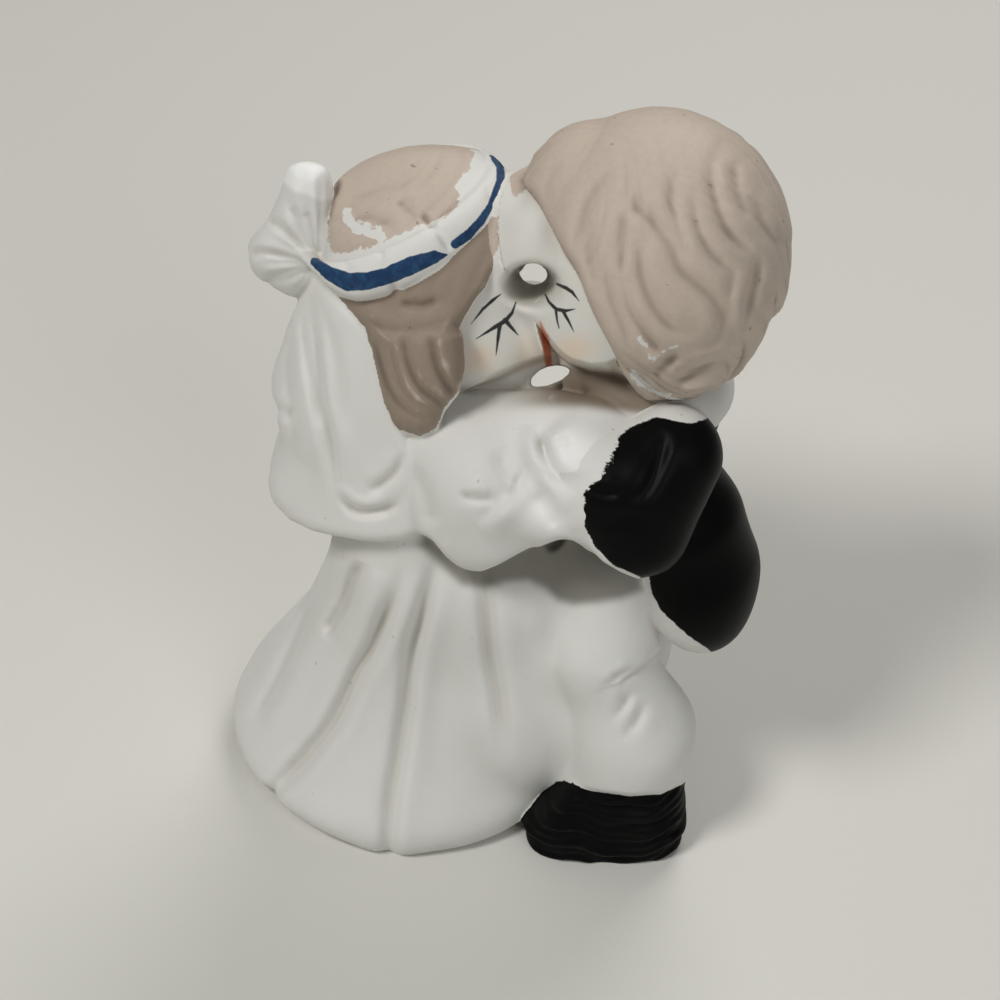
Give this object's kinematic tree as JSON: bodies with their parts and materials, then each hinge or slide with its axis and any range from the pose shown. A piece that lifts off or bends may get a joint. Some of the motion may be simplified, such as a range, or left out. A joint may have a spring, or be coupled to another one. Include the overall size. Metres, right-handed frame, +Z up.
{
  "type": "wedding cake topper",
  "caption": "Small matte bisque porcelain cake topper of a bride and groom, doll-like children who stand and kiss, with veil, bell skirt, black jacket and shoes.",
  "frame": {"origin": "on the ground plane under the middle of the bounding box", "axes": "+Z up, +X from the bride towards the groom along the kiss, +Y away from the side seen in front"},
  "size_m": [0.0644, 0.0458, 0.0946],
  "materials": {
    "bisque": "matte unglazed white bisque",
    "face": "matte bisque with a thin flesh tint, painted lashes and lips",
    "hair": "matte taupe paint on bisque",
    "brown_hair": "matte brown paint on bisque",
    "ribbon_band": "white bisque with a painted blue ribbon",
    "black": "matte black paint on bisque"
  },
  "bodies": {
    "root": {"bride_skirt": "bisque", "bride_bodice": "bisque", "bride_near_sleeve": "bisque", "bride_far_sleeve": "bisque", "bride_near_hand": "bisque", "bride_far_hand": "bisque", "bride_head": "face", "bride_hair": "hair", "bride_headband": "ribbon_band", "bride_near_lock": "brown_hair", "bride_far_lock": "brown_hair", "veil_rosette": "bisque", "veil": "bisque", "groom_head": "face", "groom_hair": "hair", "groom_collar": "bisque", "groom_jacket": "black", "groom_near_sleeve": "black", "groom_far_sleeve": "black", "groom_near_hand": "bisque", "groom_far_hand": "bisque", "groom_near_leg": "bisque", "groom_far_leg": "bisque", "groom_near_shoe": "black", "groom_far_shoe": "black"}
  },
  "joints": []
}
